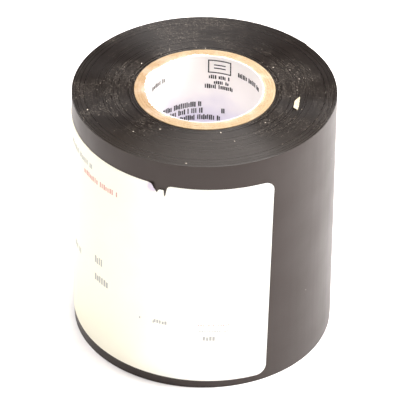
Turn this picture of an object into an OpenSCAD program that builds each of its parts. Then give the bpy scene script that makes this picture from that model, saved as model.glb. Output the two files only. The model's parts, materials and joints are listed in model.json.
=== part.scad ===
// Roll of wide black electrical tape on a wound paper core, with a paper label round its side.
// The roll stands on end: +Z is the axis of the core, and the origin is where that axis meets the
// bottom face of the tape. Angles run anticlockwise from +X, seen from above.

/* [Tape] */
// Width of the tape, which is the height of the wound tape
tape_w = 76.2; // [40:0.1:100]
// Thickness of the tape
tape_t = 0.18; // [0.1:0.01:0.3]
// Outside diameter of the roll, over the end of the tape
roll_d = 74; // [58:0.5:120]
// Length of the free end that lifts to start the tape
tail_l = 16; // [8:1:30]
// Length of bare tape between the label and the line that the free end lifts from
peel_gap = 22; // [5:1:40]

/* [Core] */
// Bore of the core, inside its paper liner
bore_d = 32.5; // [20:0.5:50]
// Thickness of the paper liner
liner_t = 0.15; // [0.08:0.01:0.3]
// Thickness of one ply of board, of four
ply_t = 0.8; // [0.4:0.05:1.2]
// Height that the core stands above the top face of the tape
core_proud = 0.4; // [0:0.1:2]

/* [Label] */
// Length of the label round the roll
label_l = 130; // [60:1:150]
// Thickness of the label
label_t = 0.12; // [0.06:0.01:0.3]
// Thickness of the glue under the label
label_glue_t = 0.03; // [0.03:0.01:0.1]
// Radius of the label's corners
label_corner_r = 3; // [1:0.5:8]
// Bare tape below the label, at the corner where its front edge starts
label_foot = 2.2; // [0.5:0.1:8]
// Bare tape above the label, at its front edge
label_head = 8; // [7:0.1:14]
// Angle that the label is stuck on out of square
label_skew = 1.3; // [0:0.1:3]
// Angle round the roll of the lower front corner of the label
label_front_a = -61; // [-90:1:-30]
// Distance of the tear from the label's front edge
tear_u = 29.2; // [10:0.1:45]

/* [Label scrap] */
// Length of the scrap of label paper on the top face
scrap_l = 6.3; // [3:0.1:10]
// Greatest width of the scrap
scrap_w = 2; // [0.5:0.1:3]
// Distance of the scrap's middle from the core
scrap_gap = 6.7; // [1.5:0.1:8]
// Angle round the roll of the scrap
scrap_a = -14; // [-30:0.5:30]

/* [Hidden] */
$fn = 180;

PLIES = 4;
roll_r = roll_d / 2;
liner_r = bore_d / 2 + liner_t;
core_r = liner_r + PLIES * ply_t;

// The angle at the axis of a length along the outside of the roll
function arc_a(length) = length / roll_r * 180 / PI;

peel_a = label_front_a + 360 - arc_a(label_l + peel_gap);
tail_a = arc_a(tail_l);
end_a = peel_a - tail_a;

label_w = (tape_w - label_foot - label_head) / cos(label_skew);
label_step = 2.5;
label_rows = 3;
corner_steps = 4;

// The tear in the label's top edge: distance past its near side, and depth
TEAR = [[0, 0], [0.9, 0.5], [1.7, 3.2], [2, 1.3], [3.8, 1.3], [4.2, 2.1], [5.5, 0]];
tear_l = TEAR[len(TEAR) - 1][0];

// The scrap's outline: places along its length and across it, from -0.5 to 0.5 of each
SCRAP = [[0.5, 0], [0.35, 0.18], [-0.35, 0.5], [-0.5, 0.17], [-0.48, -0.22], [0.1, -0.5], [0.17, -0.36]];

// One tube of the core, as long as the tape is wide and pushed up by core_proud
module core_tube(r, t) {
    translate([0, 0, core_proud])
        difference() {
            cylinder(r = r + t, h = tape_w);
            translate([0, 0, -1]) cylinder(r = r, h = tape_w + 2);
        }
}

module core_liner() {
    color("ghostwhite") core_tube(bore_d / 2, liner_t);
}

// Plies are counted from the bore
module core_ply(i) {
    color("burlywood") core_tube(liner_r + (i - 1) * ply_t, ply_t);
}

// Half a disc of the tape's height, on the left of its straight side, which runs from +X to -X
module half_disc(r) {
    rotate_extrude(angle = 180) square([r, tape_w]);
}

// Part of one turn of tape, which starts at +X and runs round by the angle a
module turn(r, a) {
    rotate_extrude(angle = a) translate([r - tape_t, 0]) square([tape_t, tape_w]);
}

// Wound tape is two halves, and the second has its centre half a thickness to the side and is that
// much smaller. The halves run smoothly into each other at -X and differ by one thickness at +X,
// where the tape ends. All of it is then turned to the angle of the end.
module second_half() {
    translate([-tape_t / 2, 0, 0]) rotate([0, 0, 180]) children();
}

module tape_winding() {
    color([0.16, 0.15, 0.15])
        rotate([0, 0, end_a])
            difference() {
                union() {
                    half_disc(roll_r - tape_t);
                    second_half() half_disc(roll_r - 1.5 * tape_t);
                }
                translate([0, 0, -1]) cylinder(r = core_r, h = tape_w + 2);
            }
}

module tape_outer_wrap() {
    color([0.2, 0.19, 0.19])
        rotate([0, 0, end_a])
            union() {
                mirror([1, 0, 0]) turn(roll_r, 180 - tail_a);
                second_half() turn(roll_r - tape_t / 2, 180);
            }
}

// The free end turns about the outer edge of its root, at the angle peel_a
module tape_end() {
    color([0.24, 0.23, 0.23])
        rotate([0, 0, end_a]) turn(roll_r, tail_a);
}

// A point at the height h above the outer wrap, at the angle a from the end of the tape
function on_wrap(a, h, z) = a < 180
    ? [(roll_r + h) * cos(a), (roll_r + h) * sin(a), z]
    : [(roll_r - tape_t / 2 + h) * cos(a) - tape_t / 2, (roll_r - tape_t / 2 + h) * sin(a), z];

// A point of the label, at u from its front edge and v from its lower edge, h above the outer wrap
function on_label(u, v, h) =
    let (along = u * cos(label_skew) - v * sin(label_skew))
    let (z = label_foot + u * sin(label_skew) + v * cos(label_skew))
    on_wrap(label_front_a + 360 - end_a - arc_a(along), h, z);

// How far the rounded corners cut in from the lower and upper edges, at u from the front edge
function corner_cut(u) =
    let (inside = max(0, label_corner_r - min(u, label_l - u)))
    label_corner_r - sqrt(label_corner_r * label_corner_r - inside * inside);

function tear_depth(u) = u < tear_u || u > tear_u + tear_l ? 0 : lookup(u - tear_u, TEAR);

// Even steps of at most label_step from a up to but not including b
function run(a, b) = let (n = ceil((b - a) / label_step)) [for (i = [0:n - 1]) a + (b - a) * i / n];

// The distance from the label's edge of the step i round a corner
function corner_u(i) = label_corner_r * (1 - cos(90 * i / corner_steps));

LABEL_U = concat(
    [for (i = [0:corner_steps - 1]) corner_u(i)],
    run(label_corner_r, tear_u),
    [for (p = TEAR) tear_u + p[0]],
    run(tear_u + tear_l + label_step, label_l - label_corner_r),
    [for (i = [corner_steps:-1:0]) label_l - corner_u(i)]
);

// The grid of the label's points on one of its faces, a column of label_rows + 1 points for each u
function label_face(h) = [
    for (u = LABEL_U)
        let (low = corner_cut(u))
        let (high = label_w - corner_cut(u) - tear_depth(u))
        for (j = [0:label_rows]) on_label(u, low + (high - low) * j / label_rows, h)
];

module paper_label() {
    rows = label_rows + 1;
    columns = len(LABEL_U);
    back = columns * rows;
    top = label_rows;
    last = back - rows;
    color("snow")
        rotate([0, 0, end_a])
            polyhedron(
                points = concat(label_face(label_glue_t + label_t), label_face(label_glue_t)),
                faces = concat(
                    [for (i = [0:columns - 2], j = [0:top - 1])
                        let (p = i * rows + j)
                        each [[p, p + rows, p + rows + 1], [p, p + rows + 1, p + 1]]],
                    [for (i = [0:columns - 2], j = [0:top - 1])
                        let (p = back + i * rows + j)
                        each [[p, p + rows + 1, p + rows], [p, p + 1, p + rows + 1]]],
                    [for (i = [0:columns - 2])
                        let (p = i * rows)
                        each [[p, p + back, p + rows + back], [p, p + rows + back, p + rows]]],
                    [for (i = [0:columns - 2])
                        let (p = i * rows + top)
                        each [[p, p + rows + back, p + back], [p, p + rows, p + rows + back]]],
                    [for (j = [0:top - 1])
                        each [[j, j + 1, j + 1 + back], [j, j + 1 + back, j + back]]],
                    [for (j = [0:top - 1])
                        let (p = last + j)
                        each [[p, p + 1 + back, p + 1], [p, p + back, p + 1 + back]]]
                )
            );
}

module label_scrap() {
    color("snow")
        rotate([0, 0, scrap_a])
            translate([core_r + scrap_gap, 0, tape_w])
                rotate([0, 0, 90])
                    linear_extrude(label_t) polygon([for (p = SCRAP) [p[0] * scrap_l, -p[1] * scrap_w]]);
}

core_liner();
core_ply(1);  // core_ply_1
core_ply(2);  // core_ply_2
core_ply(3);  // core_ply_3
core_ply(4);  // core_ply_4
tape_winding();
tape_outer_wrap();
tape_end();
paper_label();
label_scrap();
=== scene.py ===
"""The looks of a roll of black electrical tape on a wound paper core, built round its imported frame."""
import json
from math import acos, atan2, cos, hypot, pi, radians, sin

import bpy
import numpy as np
from bpy.props import FloatProperty, FloatVectorProperty, IntProperty, PointerProperty
from mathutils import Matrix, Vector


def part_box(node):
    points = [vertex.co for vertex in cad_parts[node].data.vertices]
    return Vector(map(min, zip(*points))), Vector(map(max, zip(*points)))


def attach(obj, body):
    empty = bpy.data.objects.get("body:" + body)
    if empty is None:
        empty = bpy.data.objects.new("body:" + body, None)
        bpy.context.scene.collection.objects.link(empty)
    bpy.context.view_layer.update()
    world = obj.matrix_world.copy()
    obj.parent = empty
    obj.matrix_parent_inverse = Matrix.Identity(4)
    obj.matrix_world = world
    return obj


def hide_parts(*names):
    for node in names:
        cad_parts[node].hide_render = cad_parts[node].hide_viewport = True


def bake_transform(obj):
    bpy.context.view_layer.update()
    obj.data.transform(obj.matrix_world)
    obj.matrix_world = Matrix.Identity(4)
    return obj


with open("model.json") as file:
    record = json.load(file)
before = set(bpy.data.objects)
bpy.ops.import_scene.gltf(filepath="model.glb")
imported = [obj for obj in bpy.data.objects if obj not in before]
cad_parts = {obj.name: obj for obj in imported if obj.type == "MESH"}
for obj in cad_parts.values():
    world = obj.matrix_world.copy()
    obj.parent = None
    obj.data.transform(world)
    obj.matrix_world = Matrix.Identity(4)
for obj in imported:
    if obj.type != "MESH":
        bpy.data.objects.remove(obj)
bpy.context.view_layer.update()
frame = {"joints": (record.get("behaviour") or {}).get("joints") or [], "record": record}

bl_info = {
    "name": "Electrical Tape Roll",
    "version": (1, 0, 0),
    "blender": (4, 5, 0),
    "location": "3D View > Sidebar > Tape Roll",
    "description": "Builds the pieces of a roll of electrical tape round its frame, with their materials",
    "category": "Add Mesh",
}

MM = 0.001

# Where things are, from the frame. Angles run anticlockwise from +X, seen from above.
PEEL = frame["joints"][0]["pos_m"]
ROLL_R = hypot(PEEL[0], PEEL[1])
PEEL_A = atan2(PEEL[1], PEEL[0])
TAIL_LOW, TAIL_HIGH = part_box("tape_end")
END_A = acos(TAIL_HIGH.x / ROLL_R)
TAPE_T = ROLL_R - TAIL_LOW.y / sin(END_A)
TAPE_W = TAIL_HIGH.z
CORE_FOOT, CORE_TOP = (corner.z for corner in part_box("core_ply_1"))
BORE_R = frame["record"]["mounts"][0]["dims"]["r_mm"] * MM
LINER_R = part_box("core_liner")[1].x
CORE_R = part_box("core_ply_4")[1].x
PLIES = 4

# The free end's strip reaches this far past the peel line, where it lies still with the roll.
OVERLAP_A = 1.2 * MM / ROLL_R


def srgb(text):
    """A hex colour as linear red, green, blue and alpha."""
    share = np.array([int(text[i : i + 2], 16) for i in (1, 3, 5)]) / 255
    linear = np.where(share <= 0.04045, share / 12.92, ((share + 0.055) / 1.055) ** 2.4)
    return (*linear.tolist(), 1.0)


def length(name, description, default):
    """A property for a length in metres."""
    return FloatProperty(name=name, description=description, default=default, unit="LENGTH", precision=5)


def angle(name, description, default):
    """A property for an angle in radians."""
    return FloatProperty(name=name, description=description, default=default, subtype="ANGLE")


def colour(name, description, text):
    """A property for a colour."""
    return FloatVectorProperty(
        name=name, description=description, default=srgb(text), subtype="COLOR", size=4, min=0, max=1
    )


class RollSizes(bpy.types.PropertyGroup):
    """Sizes of the tape and its core that the frame leaves free."""

    ring_pitch: length("Ring pitch", "Spacing of the rings on the ends of the winding", 0.36 * MM)
    ring_depth: length("Ring depth", "How far some turns of the tape sit below others", 0.018 * MM)
    rim_drop: length("Rim drop", "How far the outermost turns are rolled down at the rim", 0.06 * MM)
    rim_width: length("Rim width", "Width of the rolled rim", 0.35 * MM)
    end_lift: length("End lift", "How far the free end's edge has lifted off the roll", 0.35 * MM)
    fringe: length("Fringe", "How far torn liner paper lies over the edge of the board", 0.45 * MM)
    board_fuzz: length("Board fuzz", "Roughness of the cut edge of the board", 0.03 * MM)


class LabelSizes(bpy.types.PropertyGroup):
    """Sizes of the paper label and its scrap."""

    length: length("Length", "Length of the label round the roll", 130 * MM)
    height: length("Height", "Height of the label", 66 * MM)
    glue: length("Glue", "Thickness of the glue under the label", 0.03 * MM)
    thickness: length("Thickness", "Thickness of the label's paper", 0.12 * MM)
    corner_r: length("Corner radius", "Radius of the label's corners", 3 * MM)
    foot: length("Foot", "Bare tape below the lower front corner", 2.2 * MM)
    skew: angle("Skew", "Angle that the label is stuck on out of square", radians(1.3))
    front: angle("Front edge", "Angle round the roll of the lower front corner", radians(-61))
    tear_u: length("Tear", "Distance of the tear from the front edge", 29.2 * MM)
    curl: length("Curl", "How far the torn flap stands off the roll", 0.7 * MM)
    step: length("Step", "Spacing of the label's columns of points", 0.5 * MM)
    rows: IntProperty(name="Rows", description="Rows of faces up the label", default=48, min=8, max=96)
    scrap_length: length("Scrap length", "Length of the scrap on the top face", 6.3 * MM)
    scrap_width: length("Scrap width", "Greatest width of the scrap", 2 * MM)
    scrap_turn: angle("Scrap turn", "Angle that the scrap is turned by", radians(-14))


class RollColours(bpy.types.PropertyGroup):
    """Colours of the finishes."""

    film: colour("Tape face", "Smooth face of the black tape", "#1a1412")
    edge: colour("Tape edges", "Slit edges of the black tape", "#150d09")
    glue: colour("Glue", "Sticky side of the tape", "#0b0705")
    sheen: colour("Sheen", "Tint of the tape face's reflections seen square on", "#fff0ea")
    dust: colour("Dust", "Pale dust on the tape", "#bdb3a6")
    lamps: colour("Lamps", "Colour of the studio lights", "#fffaf8")
    board: colour("Board", "Cut edge of the core's kraft board", "#9d8a6c")
    pulp: colour("Pulp", "Darker fibres and scuffs in the board", "#846445")
    liner: colour("Liner", "White paper in the bore", "#fbf8f4")
    # Painted shade: the liner's paper made darker and cooler, standing in for the dimmer light further down
    # the bore.
    painted_bore_shade: colour("Liner, deep down", "White paper further down the bore", "#dedbe9")
    paper: colour("Label", "White paper of the label", "#f4f3ee")
    stain: colour("Stain", "Where the label's paper has yellowed", "#f3f0dc")
    # Painted shade: a violet-grey colour for the spot beside the tear that stands in for the shadow under
    # the curled flap.
    painted_flap_shade: colour("Stock", "The label's stock where its face has torn off", "#cdc5d4")
    cream: colour("Scrap", "Yellowed paper of the scrap", "#aaa28b")
    ink: colour("Ink", "Dark print in the bore", "#161418")
    faded: colour("Faded ink", "Faded grey print on the label", "#a6a7a3")
    red: colour("Red ink", "Faded red print on the label", "#c9958b")


# ---------------------------------------------------------------- shapes


def ripples(seed, x, y, longest, shortest, count=14):
    """A sum of sine waves of x and y whose lengths lie between shortest and longest, each with a seeded
    direction and phase, over the square root of their count, so that it stays near -1 to 1."""
    rng = np.random.default_rng(seed)
    waves = rng.uniform(size=(count, 3))
    size = shortest * (longest / shortest) ** waves[:, 0]
    turn, phase = 2 * pi * waves[:, 1], 2 * pi * waves[:, 2]
    x, y = np.broadcast_arrays(x, y)
    along = x[..., None] * np.cos(turn) + y[..., None] * np.sin(turn)
    return np.sin(2 * pi * along / size + phase).sum(-1) / np.sqrt(count)


def ring_waves(seed, theta, lowest, highest, count=10):
    """A sum of sine waves of theta that each close on themselves, with lowest to highest waves a turn."""
    rng = np.random.default_rng(seed)
    turns = rng.integers(lowest, highest + 1, count)
    phase = rng.uniform(0, 2 * pi, count)
    return np.sin(theta[..., None] * turns + phase).sum(-1) / np.sqrt(count)


def ease(t):
    """0 below 0, 1 above 1, and the smooth curve 3t² - 2t³ between."""
    t = np.clip(t, 0, 1)
    return t * t * (3 - 2 * t)


def polar(r, theta, z):
    """Points at the distance r from the axis, the angle theta and the height z."""
    r, theta, z = np.broadcast_arrays(r, theta, z)
    return np.stack([r * np.cos(theta), r * np.sin(theta), z], -1)


def on_wrap(a, h, z):
    """Points at the height h above the tape's outermost turn, at the angle a past the tape's end. For
    half a turn that turn is a circle of the roll's radius about the axis. The other half is a circle that
    is half a thickness smaller and has its centre half a thickness to the side, so that it meets the
    first smoothly and comes back to the end one thickness lower."""
    a, h, z = np.broadcast_arrays(a, h, z)
    shift = np.where(a < pi, 0, TAPE_T / 2)
    r = ROLL_R - shift + h
    x, y = r * np.cos(a) - shift, r * np.sin(a)
    return np.stack([x * cos(END_A) - y * sin(END_A), x * sin(END_A) + y * cos(END_A), z], -1)


def grid_faces(rows, columns, closed=False):
    """The four-cornered faces of a grid of points that is stored row by row. A closed one joins up both
    ways, as a ring does."""
    i = np.arange(rows if closed else rows - 1)[:, None]
    j = np.arange(columns if closed else columns - 1)[None, :]
    i2, j2 = (i + 1) % rows, (j + 1) % columns
    corners = [i * columns + j, i2 * columns + j, i2 * columns + j2, i * columns + j2]
    return np.stack(corners, -1).reshape(-1, 4)


def slab_faces(rows, columns):
    """The faces of a thin closed slab whose front grid comes first and whose back grid has the same
    points in the same order: both grids, the back one turned round, and a strip along each edge."""
    index = np.arange(rows * columns).reshape(rows, columns)
    front = grid_faces(rows, columns)
    rim = np.concatenate([index[0, :-1], index[:-1, -1], index[-1, :0:-1], index[:0:-1, 0]])
    ahead, back = np.roll(rim, -1), rows * columns
    strip = np.stack([ahead, rim, rim + back, ahead + back], -1)
    return np.concatenate([front, front[:, ::-1] + back, strip[:, ::-1]])


def six_volumes(points, faces):
    """Six times the volume that a closed shape holds, which is negative if its faces point inwards."""
    a, b, c, d = (points[faces[:, k]] for k in range(4))
    return (a * (np.cross(b, c) + np.cross(c, d))).sum()


def make(name, points, faces, *materials, slots=None):
    """A smooth-shaded piece of these points and four-cornered faces, turned round if they point inwards,
    with edges sharper than 40 degrees left sharp. slots says which material each face takes."""
    points = np.asarray(points, float).reshape(-1, 3)
    if six_volumes(points, faces) < 0:
        faces = faces[:, ::-1]
    mesh = bpy.data.meshes.new(name)
    mesh.vertices.add(len(points))
    mesh.vertices.foreach_set("co", points.astype(np.float32).ravel())
    mesh.loops.add(faces.size)
    mesh.loops.foreach_set("vertex_index", faces.astype(np.int32).ravel())
    mesh.polygons.add(len(faces))
    mesh.polygons.foreach_set("loop_start", np.arange(0, faces.size, 4, dtype=np.int32))
    mesh.polygons.foreach_set("loop_total", np.full(len(faces), 4, np.int32))
    for material in materials:
        mesh.materials.append(material)
    if slots is not None:
        mesh.polygons.foreach_set("material_index", np.asarray(slots, np.int32))
    mesh.update(calc_edges=True)
    mesh.shade_smooth()
    mesh.set_sharp_from_angle(angle=radians(40))
    piece = bpy.data.objects.new(name, mesh)
    bpy.context.scene.collection.objects.link(piece)
    return piece


def slab(name, front, back, *materials, slots=None):
    """A thin closed piece between two grids of points."""
    points = np.concatenate([front.reshape(-1, 3), back.reshape(-1, 3)])
    return make(name, points, slab_faces(*front.shape[:2]), *materials, slots=slots)


def finish_piece(piece, node):
    """Ties a piece to the roll's body, the node that it stands for, if any."""
    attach(piece, "roll")
    if node:
        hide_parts(node)


# ---------------------------------------------------------------- materials


# A Mix node of colours has sockets with the same names as its other kinds have, so they go by number:
# the share of the second colour, the two colours, and the mixed colour that comes out.
SHARE, FIRST, SECOND = 0, 6, 7
COLOURS = {"out": 2, "data_type": "RGBA"}
SMOOTH = {"interpolation_type": "SMOOTHSTEP"}


def add(tree, kind, inputs=(), out=0, **settings):
    """Adds a shader node with these settings. inputs maps a socket's name or number to a value or to the
    socket that feeds it. Returns the node's output that out names or numbers."""
    node = tree.nodes.new(f"ShaderNode{kind}")
    for name, value in settings.items():
        setattr(node, name, value)
    for name, value in dict(inputs).items():
        if isinstance(value, bpy.types.NodeSocket):
            tree.links.new(value, node.inputs[name])
        else:
            node.inputs[name].default_value = value
    return node.outputs[out]


def start(name, **constants):
    """A new material's node tree, the inputs of its Principled shader and its Object coordinates. The
    constants are set on the shader, with _ for a space in a socket's name."""
    material = bpy.data.materials.new(name)
    material.use_nodes = True
    tree = material.node_tree
    shader = next(n for n in tree.nodes if n.type == "BSDF_PRINCIPLED")
    for socket, value in constants.items():
        shader.inputs[socket.replace("_", " ")].default_value = value
    return material, tree, shader.inputs, add(tree, "TexCoord", out="Object")


def feed(tree, sockets, **links):
    """Links these outputs to the shader's inputs, with _ for a space in a socket's name."""
    for socket, output in links.items():
        tree.links.new(output, sockets[socket.replace("_", " ")])


def dusted(tree, where, base, dust, spacing, largest, cover):
    """base with round specks of dust up to largest metres across, one to a cell of spacing metres. Each
    cell's random colour gives its speck's size, raised to the fourth power so that most are tiny."""
    cells = add(tree, "TexVoronoi", {"Vector": where, "Scale": 1 / spacing}, "Distance")
    dice = add(tree, "SeparateColor", {0: cells.node.outputs["Color"]})
    share = add(tree, "Math", {0: dice, 1: 4.0}, operation="POWER")
    radius = add(tree, "Math", {0: share, 1: largest / 2 / spacing}, operation="MULTIPLY")
    speck = add(tree, "Math", {0: cells, 1: radius}, operation="LESS_THAN")
    amount = add(tree, "Math", {0: speck, 1: cover}, operation="MULTIPLY")
    return add(tree, "Mix", {SHARE: amount, FIRST: base, SECOND: dust}, **COLOURS)


def pvc_edges(colours):
    """Slit edges of plasticised PVC tape, wound so tight that they look like one dull black face. The
    grooves between the turns are too fine to see one by one. They show as a bow-tie of light that
    spreads outwards from the core, with darker and paler rings and clouds of fine dust. On the front
    of the face the dust has been wiped, which left a thin even smear of it."""
    material, tree, sockets, where = start("slit PVC tape edges", Anisotropic=0.95, IOR=1.5)
    flat = add(tree, "VectorMath", {0: where, 1: (1, 1, 0)}, operation="MULTIPLY")
    outwards = add(tree, "VectorMath", {0: flat}, operation="NORMALIZE")
    world = add(tree, "VectorTransform", {0: outwards}, convert_from="OBJECT", convert_to="WORLD")
    radius = add(tree, "VectorMath", {0: flat}, "Value", operation="LENGTH")
    rings = add(tree, "CombineXYZ", {0: radius})
    # The tape is 0.18 mm thick. Its grooves are drawn at four times that, the finest that shows, and
    # the noise's own detail adds finer ones.
    grooves = add(
        tree, "TexNoise", {"Vector": rings, "Scale": 0.25 / TAPE_T, "Detail": 3.0, "Roughness": 0.7}
    )
    cloud = add(tree, "TexNoise", {"Vector": where, "Scale": 1 / (9 * MM), "Detail": 3.0})
    grain = add(tree, "TexNoise", {"Vector": where, "Scale": 1 / (0.45 * MM), "Roughness": 0.6})
    ringed = add(tree, "MapRange", {"Value": grooves, "From Min": 0.35, "From Max": 0.68}, **SMOOTH)
    black = add(tree, "Mix", {SHARE: ringed, FIRST: colours.glue, SECOND: colours.edge}, **COLOURS)
    clouds = add(tree, "MapRange", {"Value": cloud, "From Min": 0.42, "From Max": 0.64}, **SMOOTH)
    back = add(tree, "SeparateXYZ", {0: where}, "Y")
    unwiped = add(
        tree,
        "MapRange",
        {"Value": back, "From Min": -28 * MM, "From Max": -14 * MM, "To Min": 0.1},
        **SMOOTH,
    )
    clouded = add(tree, "Math", {0: clouds, 1: unwiped}, operation="MULTIPLY")
    smear = add(tree, "MapRange", {"Value": unwiped, "From Min": 0.1, "To Min": 0.022, "To Max": 0.0})
    spots = add(
        tree, "MapRange", {"Value": grain, "From Min": 0.48, "From Max": 0.76, "To Max": 0.16}, **SMOOTH
    )
    amount = add(tree, "Math", {0: clouded, 1: spots, 2: smear}, operation="MULTIPLY_ADD")
    pale = add(tree, "Mix", {SHARE: amount, FIRST: black, SECOND: colours.dust}, **COLOURS)
    cover = add(tree, "MapRange", {"Value": clouded, "To Min": 0.05, "To Max": 0.3})
    fine = dusted(tree, where, pale, colours.dust, 0.5 * MM, 0.32 * MM, cover)
    coarse = dusted(tree, where, fine, colours.dust, 2.4 * MM, 0.6 * MM, 0.6)
    rough = add(
        tree,
        "MapRange",
        {"Value": grooves, "From Min": 0.38, "From Max": 0.62, "To Min": 0.25, "To Max": 0.35},
    )
    height = add(tree, "Math", {0: grain, 1: 0.3, 2: grooves}, operation="MULTIPLY_ADD")
    normal = add(tree, "Bump", {"Height": height, "Distance": 0.016 * MM})
    feed(tree, sockets, Base_Color=coarse, Roughness=rough, Tangent=world, Normal=normal)
    return material


def pvc_face(colours):
    """Calendered plasticised PVC film: satin black with a soft orange peel, so that it mirrors the room
    as a blurred gradient that runs to white at the sides of the roll, with a little dust on it."""
    material, tree, sockets, where = start("calendered PVC film", IOR=1.5, Specular_Tint=colours.sheen)
    peel = add(tree, "TexNoise", {"Vector": where, "Scale": 1 / (0.7 * MM)})
    cloud = add(tree, "TexNoise", {"Vector": where, "Scale": 1 / (14 * MM), "Detail": 3.0})
    tone = add(tree, "MapRange", {"Value": cloud, "From Min": 0.3, "From Max": 0.7}, **SMOOTH)
    black = add(tree, "Mix", {SHARE: tone, FIRST: colours.film, SECOND: colours.edge}, **COLOURS)
    dusty = dusted(tree, where, black, colours.dust, 3.2 * MM, 0.45 * MM, 0.3)
    upright = add(tree, "VectorMath", {0: where, 1: (1, 1, 0.03)}, operation="MULTIPLY")
    streaks = add(tree, "TexNoise", {"Vector": upright, "Scale": 1 / (1.6 * MM)})
    uneven = add(tree, "Math", {0: streaks, 1: 0.5, 2: cloud}, operation="MULTIPLY_ADD")
    rough = add(tree, "Math", {0: uneven, 1: 0.14, 2: 0.35}, operation="MULTIPLY_ADD")
    normal = add(tree, "Bump", {"Height": peel, "Distance": 0.006 * MM})
    feed(tree, sockets, Base_Color=dusty, Roughness=rough, Normal=normal)
    return material


def pvc_glue(colours):
    """The sticky side of the tape: natural rubber glue, darker and wetter than the film."""
    material, tree, sockets, where = start("rubber glue on PVC film", IOR=1.52)
    lumps = add(tree, "TexNoise", {"Vector": where, "Scale": 1 / (1.2 * MM), "Detail": 3.0})
    tint = add(tree, "Mix", {SHARE: lumps, FIRST: colours.glue, SECOND: colours.film}, **COLOURS)
    rough = add(
        tree, "MapRange", {"Value": lumps, "From Min": 0.3, "From Max": 0.7, "To Min": 0.16, "To Max": 0.34}
    )
    normal = add(tree, "Bump", {"Height": lumps, "Distance": 0.02 * MM})
    feed(tree, sockets, Base_Color=tint, Roughness=rough, Normal=normal)
    return material


def kraft_board(colours):
    """Recycled kraft board, cut through: warm tan and matt, with short fibres, pale patches where the cut
    has frayed, white fuzz next to the bore and a speckle of darker pulp. It is browner on its left."""
    material, tree, sockets, where = start("cut kraft board", Roughness=0.9, Specular_IOR_Level=0.25)
    fibres = add(
        tree, "TexNoise", {"Vector": where, "Scale": 1 / (0.4 * MM), "Detail": 4.0, "Roughness": 0.65}
    )
    blotch = add(tree, "TexNoise", {"Vector": where, "Scale": 1 / (5 * MM)})
    tone = add(tree, "MapRange", {"Value": fibres, "From Min": 0.2, "From Max": 0.55}, **SMOOTH)
    across = add(tree, "SeparateXYZ", {0: where}, "X")
    browned = add(
        tree,
        "MapRange",
        {"Value": across, "From Min": -4 * MM, "From Max": -16 * MM, "To Max": 0.4},
        **SMOOTH,
    )
    board = add(tree, "Mix", {SHARE: browned, FIRST: colours.board, SECOND: colours.pulp}, **COLOURS)
    tan = add(tree, "Mix", {SHARE: tone, FIRST: colours.pulp, SECOND: board}, **COLOURS)
    worn = add(
        tree, "MapRange", {"Value": blotch, "From Min": 0.4, "From Max": 0.75, "To Max": 0.12}, **SMOOTH
    )
    pale = add(tree, "Mix", {SHARE: worn, FIRST: tan, SECOND: colours.liner}, **COLOURS)
    flat = add(tree, "VectorMath", {0: where, 1: (1, 1, 0)}, operation="MULTIPLY")
    radius = add(tree, "VectorMath", {0: flat}, "Value", operation="LENGTH")
    ragged = add(tree, "Math", {0: blotch, 1: -2.4 * MM, 2: radius}, operation="MULTIPLY_ADD")
    near, far = LINER_R - 1.2 * MM, LINER_R + 0.1 * MM
    fuzz = add(
        tree,
        "MapRange",
        {"Value": ragged, "From Min": near, "From Max": far, "To Min": 0.09, "To Max": 0.0},
        **SMOOTH,
    )
    fuzzy = add(tree, "Mix", {SHARE: fuzz, FIRST: pale, SECOND: colours.liner}, **COLOURS)
    scuffed = dusted(tree, where, fuzzy, colours.pulp, 2.2 * MM, 0.6 * MM, 0.8)
    normal = add(tree, "Bump", {"Height": fibres, "Distance": 0.05 * MM})
    feed(tree, sockets, Base_Color=scuffed, Normal=normal)
    return material


def coated_paper(colours):
    """Coated white paper of the core's liner: smooth and warm, with painted shade that turns it darker and
    cooler further down the bore.
    """
    material, tree, sockets, where = start("coated liner paper", Roughness=0.6, Specular_IOR_Level=0.35)
    fibres = add(tree, "TexNoise", {"Vector": where, "Scale": 1 / (0.35 * MM), "Detail": 3.0})
    cloud = add(tree, "TexNoise", {"Vector": where, "Scale": 1 / (9 * MM)})
    height = add(tree, "SeparateXYZ", {0: where}, "Z")
    uneven = add(tree, "Math", {0: cloud, 1: 16 * MM, 2: height}, operation="MULTIPLY_ADD")
    # Painted shade: lower down the bore the paper turns to the painted shade colour, and the cloud makes the
    # edge of that shade uneven.
    out_of_painted_shade = add(tree, "MapRange", {"Value": uneven, "From Min": 60 * MM, "From Max": 76 * MM}, **SMOOTH)
    tint = add(tree, "Mix", {SHARE: out_of_painted_shade, FIRST: colours.painted_bore_shade, SECOND: colours.liner}, **COLOURS)
    normal = add(tree, "Bump", {"Height": fibres, "Distance": 0.012 * MM})
    feed(tree, sockets, Base_Color=tint, Normal=normal)
    return material


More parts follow.
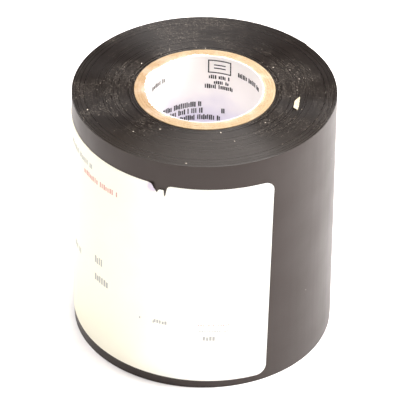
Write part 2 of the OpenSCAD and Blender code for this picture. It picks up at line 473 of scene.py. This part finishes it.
def label_paper(colours, torn):
    """Uncoated label paper: matt white with a fine tooth, yellowed unevenly on its left, where it has lain
    in the light.
    Round the point torn, a violet-grey spot is painted shade, standing in for the shadow of the curled flap."""
    material, tree, sockets, where = start("matt label paper", Roughness=0.72, Specular_IOR_Level=0.35)
    tooth = add(
        tree, "TexNoise", {"Vector": where, "Scale": 1 / (0.25 * MM), "Detail": 3.0, "Roughness": 0.6}
    )
    patch = add(tree, "TexNoise", {"Vector": where, "Scale": 1 / (22 * MM)})
    across = add(tree, "SeparateXYZ", {0: where}, "X")
    uneven = add(tree, "Math", {0: patch, 1: -40 * MM, 2: across}, operation="MULTIPLY_ADD")
    aged = add(tree, "MapRange", {"Value": uneven, "From Min": -8 * MM, "From Max": -52 * MM}, **SMOOTH)
    tint = add(tree, "Mix", {SHARE: aged, FIRST: colours.paper, SECOND: colours.stain}, **COLOURS)
    # Painted shade: round the point torn, a ragged violet-grey spot stands in for the shadow of the curled
    # flap.
    reach = add(tree, "VectorMath", {0: where, 1: torn}, "Value", operation="DISTANCE")
    ragged = add(tree, "Math", {0: tooth, 1: 1.6 * MM, 2: reach}, operation="MULTIPLY_ADD")
    near, far = 1.9 * MM, 2.8 * MM
    painted_shade_spot = add(
        tree, "MapRange", {"Value": ragged, "From Min": near, "From Max": far, "To Min": 1.0, "To Max": 0.0}
    )
    shown = add(tree, "Mix", {SHARE: painted_shade_spot, FIRST: tint, SECOND: colours.painted_flap_shade}, **COLOURS)
    normal = add(tree, "Bump", {"Height": tooth, "Distance": 0.012 * MM})
    feed(tree, sockets, Base_Color=shown, Normal=normal)
    return material


def torn_scrap(colours):
    """A scrap of label paper that has lain in the light: cream, with whiter flecks where its face is
    still on."""
    material, tree, sockets, where = start("yellowed scrap of paper", Roughness=0.75, Specular_IOR_Level=0.3)
    tooth = add(
        tree, "TexNoise", {"Vector": where, "Scale": 1 / (0.5 * MM), "Detail": 3.0, "Roughness": 0.6}
    )
    uneven = add(tree, "MapRange", {"Value": tooth, "From Min": 0.5, "From Max": 0.8}, **SMOOTH)
    tint = add(tree, "Mix", {SHARE: uneven, FIRST: colours.cream, SECOND: colours.paper}, **COLOURS)
    normal = add(tree, "Bump", {"Height": tooth, "Distance": 0.03 * MM})
    feed(tree, sockets, Base_Color=tint, Normal=normal)
    return material


def printing_ink(name, tint):
    """Thin printing ink that has sunk into the paper: matt, with the paper showing through in places."""
    material, tree, sockets, where = start(name, Roughness=0.7)
    worn = add(tree, "TexNoise", {"Vector": where, "Scale": 1 / (0.3 * MM), "Detail": 3.0})
    thin = tuple(0.35 + 0.65 * v for v in tint[:3]) + (1.0,)
    patchy = add(tree, "MapRange", {"Value": worn, "From Min": 0.5, "From Max": 0.8}, **SMOOTH)
    shown = add(tree, "Mix", {SHARE: patchy, FIRST: tint, SECOND: thin}, **COLOURS)
    feed(tree, sockets, Base_Color=shown)
    return material


def paper_dust(colours):
    """Flakes of paper dust, which look as matt and as patchy as worn ink."""
    return printing_ink("paper dust", colours.dust)


# ---------------------------------------------------------------- pieces


class TAPEROLL_OT_wound_tape(bpy.types.Operator):
    """Build the inner turns of the tape"""

    bl_idname = "taperoll.wound_tape"
    bl_label = "Wound Tape"

    def execute(self, context):
        """A closed profile of distance from the axis and height, carried round a turn from the tape's end
        back to it. The last profile has its outside one thickness lower than the first, and the faces
        that join them are the step. The end faces are lowered by a height for each ring, which is
        eased from ring to ring, and by slow waves round the turn, and rolled down at the rim."""
        sizes, colours = context.scene.roll_sizes, context.scene.roll_colours
        a = np.linspace(0, 2 * pi, 241)[:, None]
        edge = np.linalg.norm(on_wrap(a, -TAPE_T, 0), axis=-1)
        share = np.linspace(0, 1, 131)
        r = CORE_R + (edge - CORE_R) * share
        relief = self.relief(sizes, r, a + END_A, edge)
        sides = np.linspace(0, 1, 5)[1:-1]
        outer = np.broadcast_to(edge, (len(a), len(sides)))
        inner = np.full_like(outer, CORE_R)
        height = np.broadcast_to(TAPE_W * sides, outer.shape)
        radius = np.concatenate([r, outer, r[:, ::-1], inner], axis=1)
        z = np.concatenate([relief, height, TAPE_W - relief[:, ::-1], height[:, ::-1]], axis=1)
        points = polar(radius, a + END_A, z)
        faces = grid_faces(*points.shape[:2], closed=True)
        # The profile runs out across the lower end, up, back across the upper end and down the core.
        columns = points.shape[1]
        on_end = np.arange(columns) % (len(share) + len(sides)) < len(share) - 1
        slots = np.tile(np.where(on_end, 0, 1), points.shape[0])
        piece = make("wound_tape", points, faces, pvc_edges(colours), pvc_face(colours), slots=slots)
        finish_piece(piece, "tape_winding")
        return {"FINISHED"}

    @staticmethod
    def relief(sizes, r, theta, edge):
        """How far each point of an end face lies in from the plane of the tape's edge."""
        rng = np.random.default_rng(11)
        rings = rng.uniform(0, 1, int((ROLL_R - CORE_R) / sizes.ring_pitch) + 3)
        place = (r - CORE_R) / sizes.ring_pitch
        low = np.floor(place).astype(int)
        ring = rings[low] + (rings[low + 1] - rings[low]) * ease(place - low)
        wander = 0.5 + 0.25 * ring_waves(12, theta + r / (6 * MM), 2, 7)
        rim = ease((r - edge) / sizes.rim_width + 1) ** 2
        return sizes.ring_depth * (0.6 * ring + 0.4 * np.clip(wander, 0, 1)) + sizes.rim_drop * rim


# Places across the tape's width, from its lower edge at 0 to its upper edge at 1.
ACROSS_TAPE = np.linspace(0, 1, 41)


def wrap_grids(sizes, a, lift):
    """The front and back grids of a strip of the outermost turn at the angles a, raised by lift."""
    rim = sizes.rim_drop * 1.15
    z = rim + (TAPE_W - 2 * rim) * ACROSS_TAPE
    sink = 0.006 * MM * (1 + ripples(21, ROLL_R * a, 0.25 * z, 40 * MM, 7 * MM))
    shoulder = 0.05 * MM * ((1 - ease(ACROSS_TAPE * 60)) + (1 - ease((1 - ACROSS_TAPE) * 60)))
    front = on_wrap(a, lift - sink - shoulder, z)
    back = on_wrap(a, lift - TAPE_T, z)
    return front, back


class TAPEROLL_OT_outer_turn(bpy.types.Operator):
    """Build the outermost turn of the tape"""

    bl_idname = "taperoll.outer_turn"
    bl_label = "Outer Turn"

    def execute(self, context):
        """A slab one thickness deep that follows the outermost turn from just behind the peel line to the
        end of that turn. Its face sinks by slow ripples that run up the roll, as tape wound under
        tension does, and its two edges are pulled in by the rolled rim."""
        sizes, colours = context.scene.roll_sizes, context.scene.roll_colours
        a = np.linspace(PEEL_A - END_A + OVERLAP_A, 2 * pi, 260)[:, None]
        front, back = wrap_grids(sizes, a, 0)
        piece = slab("outer_turn", front, back, pvc_face(colours))
        finish_piece(piece, "tape_outer_wrap")
        return {"FINISHED"}


class TAPEROLL_OT_free_end(bpy.types.Operator):
    """Build the free end of the tape, which peels off the roll"""

    bl_idname = "taperoll.free_end"
    bl_label = "Free End"

    def execute(self, context):
        """The same strip from the cut edge to just past the peel line. Its cut edge runs a little out of
        straight. Its last 5 mm lift off the roll by the square of a smooth curve that reaches 1 at the
        cut edge, more at the lower corner."""
        sizes, colours = context.scene.roll_sizes, context.scene.roll_colours
        tail_a = PEEL_A - END_A
        waves = ripples(31, TAPE_W * ACROSS_TAPE, 0, 60 * MM, 9 * MM)
        wave = 0.25 * MM / ROLL_R * (1 + waves) / 2
        along = np.linspace(0, 1, 121)[:, None]
        a = wave + (tail_a + OVERLAP_A - wave) * along
        free = 1 - ease(a * ROLL_R / (5 * MM))
        corner = 0.15 + 0.85 * (1 - ACROSS_TAPE) ** 2
        front, back = wrap_grids(sizes, a, sizes.end_lift * free**2 * corner)
        # The faces of the back grid come second, and are the sticky side.
        side = len(grid_faces(*front.shape[:2]))
        slots = np.zeros(len(slab_faces(*front.shape[:2])), int)
        slots[side : 2 * side] = 1
        piece = slab("free_end", front, back, pvc_face(colours), pvc_glue(colours), slots=slots)
        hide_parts("tape_end")
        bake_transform(piece)
        return {"FINISHED"}


class TAPEROLL_OT_core_board(bpy.types.Operator):
    """Build the board plies of the core"""

    bl_idname = "taperoll.core_board"
    bl_label = "Core Board"

    def execute(self, context):
        """For each ply, a closed profile of a plain wall with a frayed end face at each end, carried round
        a full turn. The end faces are lowered by ripples, and more where one ply meets the next."""
        sizes, colours = context.scene.roll_sizes, context.scene.roll_colours
        material = kraft_board(colours)
        theta = np.linspace(0, 2 * pi, 360, endpoint=False)[:, None]
        share = np.linspace(0, 1, 9)
        wall = (CORE_R - LINER_R) / PLIES
        for number in range(1, PLIES + 1):
            node = f"core_ply_{number}"
            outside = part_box(node)[1].x
            r = outside - wall + wall * share + 0 * theta
            x, y = r * np.cos(theta), r * np.sin(theta)
            joint = 0.05 * MM * (1 - ease(4 * np.minimum(share, 1 - share)))
            fray = sizes.board_fuzz * (1 + ripples(40 + number, x, y, 3 * MM, 0.5 * MM))
            low = 0.07 * MM + joint + np.clip(fray, 0, None)
            z = np.concatenate([CORE_FOOT + low, (CORE_TOP - low)[:, ::-1]], axis=1)
            points = polar(np.concatenate([r, r[:, ::-1]], axis=1), theta, z)
            faces = grid_faces(*points.shape[:2], closed=True)
            piece = make(f"core_board_{number}", points, faces, material)
            finish_piece(piece, node)
        return {"FINISHED"}


class TAPEROLL_OT_core_liner(bpy.types.Operator):
    """Build the printed paper liner of the core"""

    bl_idname = "taperoll.core_liner"
    bl_label = "Core Liner"

    def execute(self, context):
        """A closed profile up the bore, out over the board by the width of a torn fringe, back under it
        and down behind the bore, carried round a full turn. The fringe's width is a sum of waves round
        the turn, with slow high ones on its torn side, and a hair where that is below 0."""
        sizes, colours = context.scene.roll_sizes, context.scene.roll_colours
        theta = np.linspace(0, 2 * pi, 720, endpoint=False)[:, None]
        up = np.linspace(0, 1, 60)
        torn_side = radians(140)
        wide = ease(0.5 + 0.9 * np.cos(theta - torn_side))
        ragged = wide * (0.7 + 0.7 * ring_waves(51, theta, 3, 13)) + 0.3 * ring_waves(52, theta, 25, 90)
        fringe = sizes.fringe * np.clip(ragged, 0.05, 2.4)
        seam_height, seam_width = 0.05 * MM, 0.35 * MM
        seam = seam_height * np.exp(-((self.seam_distance(theta, up) / seam_width) ** 2))
        inner = BORE_R + 0.02 * MM - seam
        wall_z = CORE_FOOT + 0.06 * MM + (CORE_TOP - CORE_FOOT - 0.1 * MM) * up
        out = np.linspace(0, 1, 7)[1:]
        lap = 0.06 * MM
        top_r = LINER_R + fringe * out
        top_z = CORE_TOP - 0.01 * MM - 0.03 * MM * out**2
        under_z = (top_z - lap)[::-1]
        r = np.concatenate([inner, top_r, top_r[:, ::-1], np.full_like(fringe, LINER_R)], axis=1)
        z = np.concatenate([wall_z, top_z, under_z, [wall_z[0]]])
        points = polar(r, theta, z)
        faces = grid_faces(*points.shape[:2], closed=True)
        piece = make("core_liner_paper", points, faces, coated_paper(colours))
        finish_piece(piece, "core_liner")
        material = printing_ink("core printing ink", colours.ink)
        ink = ink_bars("core_print", self.bars(), self.in_bore, material)
        finish_piece(ink, None)
        return {"FINISHED"}

    @staticmethod
    def seam_distance(theta, up):
        """Distance from the line where the liner's strip laps itself, which climbs the bore in a helix."""
        climb, foot_a = radians(30), radians(200)
        line = theta - foot_a - up * TAPE_W * np.tan(climb) / BORE_R
        return (np.mod(line + pi, 2 * pi) - pi) * BORE_R * cos(climb)

    @staticmethod
    def in_bore(u, v, h):
        """Points h in from the bore's wall. u runs clockwise round the bore from +X, in mm, as print in a
        bore reads, and v is the height in mm."""
        return polar(BORE_R - h, -u * MM / BORE_R, v * MM)

    @staticmethod
    def bars():
        """Bars in rows that stand where a liner carries its print, and a plain ruled box above them."""
        mm_a_degree = BORE_R / MM * pi / 180
        # Start and end of each row in degrees from +X, height of its foot and height of its bars in mm.
        rows = [
            (86, 63, 69.0, 1.3), (81, 65, 67.3, 1.1), (90, 58, 65.7, 1.5), (55, 21, 71.4, 1.6),
            (136, 93, 59.4, 1.8), (127, 91, 57.2, 1.8), (117, 73, 54.9, 1.8), (155, 132, 70.5, 1.6),
            (73, 69, 57.6, 1.7),
        ]
        found = [
            word_bars(60 + k, -start_a * mm_a_degree, -end_a * mm_a_degree, z, high)
            for k, (start_a, end_a, z, high) in enumerate(rows)
        ]
        found.append(ruled_box(-87 * mm_a_degree, -63 * mm_a_degree, 71.0, 75.4, 0.35))
        return np.concatenate(found)


def word_bars(seed, u0, u1, v, high, pitch=0.56):
    """A row of upright bars from u0 to u1 with its foot at v: left, right, foot and head of each, in mm.
    They are spaced evenly, a word space falls after every few, and their heads stand at three heights."""
    rng = np.random.default_rng(seed)
    left = np.arange(u0, u1 - 0.3, pitch)
    word = np.repeat(rng.integers(4, 11, len(left)), 11)[: len(left)]
    gap = np.arange(len(left)) % word == word - 1
    left = left[~gap]
    head = v + high * rng.choice([0.8, 0.95, 1.0], len(left))
    foot = v + high * rng.choice([0.0, 0.06], len(left))
    wide = pitch * rng.choice([0.6, 0.75], len(left))
    return np.stack([left, left + wide, foot, head], -1)


def ruled_box(u0, u1, v0, v1, line):
    """The four sides of a box and two short bars in it: left, right, foot and head of each, in mm."""
    middle = (v0 + v1) / 2
    inset = (u1 - u0) / 4
    return np.array(
        [
            (u0, u1, v0, v0 + line),
            (u0, u1, v1 - line, v1),
            (u0, u0 + line, v0 + line, v1 - line),
            (u1 - line, u1, v0 + line, v1 - line),
            (u0 + inset, u1 - inset, middle + line, middle + 2 * line),
            (u0 + inset, u1 - inset, middle - 2 * line, middle - line),
        ]
    )


def ink_bars(name, bars, place, material, thickness=0.02 * MM):
    """Flat closed bars of ink on a curved face. place takes grids of u, v and the height above the face,
    and each bar is a slab of 5 by 2 points, so that it follows the curve."""
    rows, columns = 5, 2
    u = bars[:, 0, None] + (bars[:, 1] - bars[:, 0])[:, None] * np.linspace(0, 1, rows)
    v = np.stack([bars[:, 2], bars[:, 3]], -1)
    u, v = np.broadcast_arrays(u[:, :, None], v[:, None, :])
    points = np.stack([place(u, v, thickness), place(u, v, 0.2 * thickness)], 1)
    faces = slab_faces(rows, columns)
    offset = np.arange(len(bars))[:, None, None] * (2 * rows * columns)
    return make(name, points, (faces[None] + offset).reshape(-1, 4), material)


# The tear in the label's top edge: distance past its near side, and depth.
TEAR = MM * np.array(
    [
        (0, 0), (0.5, 0.12), (0.95, 0.55), (1.2, 1.5), (1.45, 3.2), (1.6, 3.6), (1.85, 3.5), (1.92, 1.6),
        (2.3, 1.42), (3.1, 1.5), (3.6, 2.0), (3.9, 2.75), (4.15, 2.5), (4.8, 1.4), (4.95, 0.5), (5.5, 0),
    ]
)


def on_label(label, u, v, h):
    """Points h above the outermost turn, at u from the label's front edge and v from its lower edge. The
    label's square is turned by its skew, and then its length is laid round the roll."""
    along = u * cos(label.skew) - v * sin(label.skew)
    z = label.foot + u * sin(label.skew) + v * cos(label.skew)
    return on_wrap(label.front + 2 * pi - END_A - along / ROLL_R, h, z)


class TAPEROLL_OT_label(bpy.types.Operator):
    """Build the torn paper label and its faded print"""

    bl_idname = "taperoll.label"
    bl_label = "Label"

    def execute(self, context):
        """Columns of points from a lower to an upper edge, which rounded corners and the tear cut in. The
        paper stands off the tape by its glue, by faint ripples, by a lifted corner and by the curl of
        the torn flap, and is one thickness deep."""
        label, colours = context.scene.label_sizes, context.scene.roll_colours
        tear_l = TEAR[-1, 0]
        even = np.arange(0, label.length, label.step)
        corner = label.corner_r * (1 - np.cos(np.linspace(0, pi / 2, 13)))
        torn = label.tear_u + np.linspace(-0.1 * MM, tear_l + 2 * MM, 90)
        u = np.unique(np.concatenate([even, corner, label.length - corner, torn]).round(6))[:, None]
        inside = np.clip(label.corner_r - np.minimum(u, label.length - u), 0, label.corner_r)
        cut = label.corner_r - np.sqrt(label.corner_r**2 - inside**2)
        ragged = 0.04 * MM * ripples(71, u, 0, 1.5 * MM, 0.3 * MM)
        past = u - label.tear_u
        depth = np.interp(past, *TEAR.T, left=0, right=0)
        depth = np.where(depth > 0, np.clip(depth + ragged, 0, None), 0)
        low, high = cut, label.height - cut - depth
        v = low + (high - low) * (1 - np.linspace(1, 0, label.rows + 1) ** 2)
        h = label.glue + self.stand_off(label, u, v, past, tear_l)
        front, back = on_label(label, u, v, h + label.thickness), on_label(label, u, v, h)
        # The centre of the painted shade spot beside the tear, on the label's face.
        shade_spot_u, shade_spot_v = label.tear_u + tear_l - 0.2 * MM, label.height - 1.2 * MM
        painted_shade_spot = on_label(label, shade_spot_u, shade_spot_v, label.glue + label.thickness)
        piece = slab("label_paper", front, back, label_paper(colours, painted_shade_spot.tolist()))
        finish_piece(piece, "paper_label")
        inks = {"label_print": colours.faded, "label_red_print": colours.red}
        for name, tint in inks.items():
            material = printing_ink(name.replace("_", " "), tint)
            ink = ink_bars(name, self.bars(name), self.on_face, material)
            finish_piece(ink, None)
        return {"FINISHED"}

    @staticmethod
    def stand_off(label, u, v, past, tear_l):
        """How far the paper stands off its glue: ripples that press into the glue, one lifted corner, the
        flap beside the tear, which curls most at its torn edge, and a slight lift all round the tear."""
        ripple = -0.004 * MM - 0.01 * MM * (1 + ripples(72, u, v, 30 * MM, 6 * MM))
        corner = 0.22 * MM * ease(1 - u / (5 * MM)) * ease((v - label.height + 6 * MM) / (6 * MM))
        beside = ease(1 - (past - tear_l + 1.2 * MM) / (2.6 * MM)) * (past > tear_l - 1.4 * MM)
        flap = label.curl * beside * ease((v - label.height + 3.2 * MM) / (3 * MM)) ** 2
        near_tear = ease(1 - np.abs(past - tear_l / 2) / (0.6 * tear_l))
        near_top = ease((v - label.height + 3.5 * MM) / (2.5 * MM))
        return ripple + corner + np.maximum(flap, 0.25 * MM * near_tear * near_top)

    @staticmethod
    def on_face(u, v, h):
        """Points at the height h above the level that the label's ripples sink to, so that the print lies
        level with their crests. Here u runs to the right, as print reads, and is in mm like v."""
        label = bpy.context.scene.label_sizes
        sunk = label.glue + label.thickness - 0.02 * MM
        return on_label(label, -u * MM, v * MM, sunk + h)

    @staticmethod
    def bars(name):
        """Rows of bars where a label has its title, its small print and its codes, with no words."""
        # Left, right and foot of each row, height of its bars and their spacing, all in mm.
        grey = [
            (-71, -56, 60.0, 1.7, 0.75), (-68, -62.5, 26, 2.0, 0.9), (-54.5, -51, 29.0, 2.6, 0.9),
            (-54.5, -48.5, 23.0, 2.4, 1.0), (-37.5, -33, 18.2, 0.8, 0.7), (-33, -29, 18.4, 1.2, 0.8),
            (-20, -11.5, 17.3, 0.35, 0.7), (-18.9, -15.2, 14.3, 1.5, 0.9),
        ]
        red = [(-60.5, -45.5, 56.4, 1.8, 0.8), (-20.4, -11, 19.4, 0.35, 0.7)]
        rows = grey if name == "label_print" else red
        return np.concatenate([word_bars(80 + k, *row) for k, row in enumerate(rows)])


class TAPEROLL_OT_scraps(bpy.types.Operator):
    """Build the scrap of label paper on the roll, and the larger flakes of dust"""

    bl_idname = "taperoll.scraps"
    bl_label = "Scraps"

    def execute(self, context):
        """The scrap is a slab whose two long sides are torn outlines, with its ends curled up a little.
        Flakes of dust are slabs of three by three points with seeded places, sizes and turns."""
        label, colours = context.scene.label_sizes, context.scene.roll_colours
        low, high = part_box("label_scrap")
        middle = np.array([(low.x + high.x) / 2, (low.y + high.y) / 2])
        share = np.linspace(0, 1, 25)[:, None]
        across = np.linspace(0, 1, 7)
        left = np.interp(share, [0, 0.04, 0.14, 0.63, 0.7, 1], [0.42, 0.3, -0.2, -0.38, -0.34, 0.06])
        right = np.interp(share, [0, 0.04, 0.46, 1], [0.46, 0.5, 0.37, 0.1])
        tear = 0.03 * ripples(91, share * 6, 0, 2.0, 0.4)
        x = (left + (right - left) * across + tear) * label.scrap_width
        y = (share - 0.5) * label.scrap_length
        turn = label.scrap_turn
        curl = 0.096 * MM * ((2 * share - 1) ** 2 + 0.6 * (2 * across - 1) ** 2)
        z = TAPE_W + 0.01 * MM + curl
        place = middle + np.stack([x * cos(turn) - y * sin(turn), x * sin(turn) + y * cos(turn)], -1)
        front = np.concatenate([place, (z + label.thickness)[..., None]], -1)
        back = np.concatenate([place, z[..., None]], -1)
        piece = slab("label_scrap_paper", front, back, torn_scrap(colours))
        finish_piece(piece, "label_scrap")
        dust = self.flakes(colours)
        finish_piece(dust, None)
        return {"FINISHED"}

    @staticmethod
    def flakes(colours):
        """Paper dust that lies on the top face of the tape."""
        count = 18
        rng = np.random.default_rng(92)
        r = rng.uniform(CORE_R + 1 * MM, ROLL_R - 1 * MM, count)
        theta = rng.uniform(0, 2 * pi, count)
        size = (0.07 + 0.16 * rng.uniform(size=count) ** 3) * MM
        turn = rng.uniform(0, pi, count)
        side = 3
        grid = np.linspace(-1, 1, side)
        x, y = np.meshgrid(grid, grid * 0.6, indexing="ij")
        x = (x + 0.25 * rng.uniform(-1, 1, (count, side, side))) * size[:, None, None]
        y = (y + 0.2 * rng.uniform(-1, 1, (count, side, side))) * size[:, None, None]
        turn = turn[:, None, None]
        px = (r * np.cos(theta))[:, None, None] + x * np.cos(turn) - y * np.sin(turn)
        py = (r * np.sin(theta))[:, None, None] + x * np.sin(turn) + y * np.cos(turn)
        low = np.full_like(px, TAPE_W - 0.02 * MM)
        high = TAPE_W + 0.35 * size[:, None, None] + 0 * px
        points = np.stack([np.stack([px, py, high], -1), np.stack([px, py, low], -1)], 1)
        offset = np.arange(count)[:, None, None] * (2 * side * side)
        faces = (slab_faces(side, side)[None] + offset).reshape(-1, 4)
        return make("dust_flakes", points, faces, paper_dust(colours))


# Each soft light: name, place and aim in metres, diameter in metres and power in watts. Those behind and
# on the right brighten the floor that the sides of the roll mirror.
MIDDLE = (0, 0, TAPE_W / 2)
LIGHTS = [
    ("front_light", (0, -0.41, 1.128), MIDDLE, 0.35, 3.5),
    ("left_front_light", (-0.3, -0.52, 1.039), MIDDLE, 0.5, 5.1),
    ("top_light", (0.311, 0, 1.159), MIDDLE, 0.5, 9.6),
    ("right_high_light", (0.6, 0, 1.039), MIDDLE, 0.5, 6.3),
    ("ceiling_light", (0.467, 0.143, 1.096), MIDDLE, 0.35, 3.0),
    ("back_light", (0, 0.6, 1.039), MIDDLE, 0.5, 2.5),
    ("back_high_light", (0, 0.249, 1.174), MIDDLE, 0.35, 1.0),
    ("left_back_light", (-0.797, 0.797, 0.41), MIDDLE, 0.6, 5.3),
    ("left_high_light", (-0.65, 0.65, 0.771), MIDDLE, 0.6, 3.6),
    ("right_back_light", (0.797, 0.797, 0.41), MIDDLE, 0.6, 3.3),
    ("right_back_high_light", (0.65, 0.65, 0.771), MIDDLE, 0.6, 1.3),
    ("right_floor_light", (0.34, 0.02, 0.26), (0.09, 0.02, 0), 0.16, 1.26),
    ("back_floor_light", (0.28, 0.24, 0.26), (0.08, 0.06, 0), 0.16, 0.68),
]

# The strength of the pale world, half the side of the floor, and how far it lies below the roll.
SKY_STRENGTH = 0.06
FLOOR_HALF = 2.0
FLOOR_DROP = 0.02 * MM


class TAPEROLL_OT_stage(bpy.types.Operator):
    """Build the floor, the lights and the camera"""

    bl_idname = "taperoll.stage"
    bl_label = "Stage"

    def execute(self, context):
        """A pale floor just under the roll, a pale world, soft lights and a long lens that looks down."""
        scene = context.scene
        scene.view_settings.view_transform = "Standard"
        world = bpy.data.worlds.new("studio")
        world.use_nodes = True
        sky = next(n for n in world.node_tree.nodes if n.type == "BACKGROUND")
        sky.inputs["Color"].default_value = srgb("#ffffff")
        sky.inputs["Strength"].default_value = SKY_STRENGTH
        scene.world = world
        corners = [(-1, -1), (1, -1), (1, 1), (-1, 1)]
        mesh = bpy.data.meshes.new("floor")
        places = [(FLOOR_HALF * x, FLOOR_HALF * y, -FLOOR_DROP) for x, y in corners]
        mesh.from_pydata(places, [], [(0, 1, 2, 3)])
        mesh.materials.append(self.sweep())
        floor = bpy.data.objects.new("floor", mesh)
        scene.collection.objects.link(floor)
        for name, place, aim, size, power in LIGHTS:
            light = bpy.data.lights.new(name, "AREA")
            light.shape, light.size, light.energy = "DISK", size, power
            light.color = scene.roll_colours.lamps[:3]
            lamp = bpy.data.objects.new(name, light)
            scene.collection.objects.link(lamp)
            turn = (Vector(aim) - Vector(place)).to_track_quat("-Z", "Y")
            lamp.matrix_world = Matrix.Translation(place) @ turn.to_matrix().to_4x4()
        scene.camera = self.camera(scene)
        return {"FINISHED"}

    @staticmethod
    def sweep():
        """Matt white paper, with the faint mottle of its pulp."""
        material, tree, sockets, where = start("white backdrop paper", Roughness=0.9, Specular_IOR_Level=0.2)
        pulp = add(tree, "TexNoise", {"Vector": where, "Scale": 1 / (3 * MM)})
        grey, white = srgb("#f6f6f6"), srgb("#ffffff")
        mottle = add(tree, "Mix", {SHARE: pulp, FIRST: grey, SECOND: white}, **COLOURS)
        feed(tree, sockets, Base_Color=mottle)
        return material

    @staticmethod
    def camera(scene):
        """A camera in front of the roll and above it, turned a little about its own axis."""
        rise, lean, distance = radians(36.02), radians(0.57), 1055.6 * MM
        aim = Vector((-1.02, 0, 38.39)) * MM
        back = Vector((0, -cos(rise), sin(rise)))
        right, up = Vector((1, 0, 0)), Vector((0, sin(rise), cos(rise)))
        axes = (right * cos(lean) + up * sin(lean), up * cos(lean) - right * sin(lean), back)
        data = bpy.data.cameras.new("camera")
        data.lens, data.sensor_width = 335.6, 36
        data.clip_start, data.clip_end = 0.05, 20
        camera = bpy.data.objects.new("camera", data)
        camera.matrix_world = Matrix.Translation(aim + back * distance) @ Matrix(axes).transposed().to_4x4()
        scene.collection.objects.link(camera)
        return camera


# The operators that build the scene, in the order that they run.
BUILDERS = [
    "wound_tape", "outer_turn", "free_end", "core_board", "core_liner", "label", "scraps", "stage"
]


class TAPEROLL_PT_panel(bpy.types.Panel):
    """Lists the builders of the roll's pieces, and the sizes and colours that they use"""

    bl_idname = "TAPEROLL_PT_panel"
    bl_label = "Tape Roll"
    bl_space_type = "VIEW_3D"
    bl_region_type = "UI"
    bl_category = "Tape Roll"

    def draw(self, context):
        for name in BUILDERS:
            self.layout.operator(f"taperoll.{name}")
        for name in GROUPS:
            group = getattr(context.scene, name)
            for key in group.__annotations__:
                self.layout.prop(group, key)


GROUPS = {"roll_sizes": RollSizes, "label_sizes": LabelSizes, "roll_colours": RollColours}
CLASSES = [
    *GROUPS.values(),
    TAPEROLL_OT_wound_tape,
    TAPEROLL_OT_outer_turn,
    TAPEROLL_OT_free_end,
    TAPEROLL_OT_core_board,
    TAPEROLL_OT_core_liner,
    TAPEROLL_OT_label,
    TAPEROLL_OT_scraps,
    TAPEROLL_OT_stage,
    TAPEROLL_PT_panel,
]


def register():
    for item in CLASSES:
        bpy.utils.register_class(item)
    for name, group in GROUPS.items():
        setattr(bpy.types.Scene, name, PointerProperty(type=group))


def unregister():
    for name in GROUPS:
        delattr(bpy.types.Scene, name)
    for item in reversed(CLASSES):
        bpy.utils.unregister_class(item)


def main():
    register()
    for name in BUILDERS:
        getattr(bpy.ops.taperoll, name)()


if __name__ == "__main__":
    main()
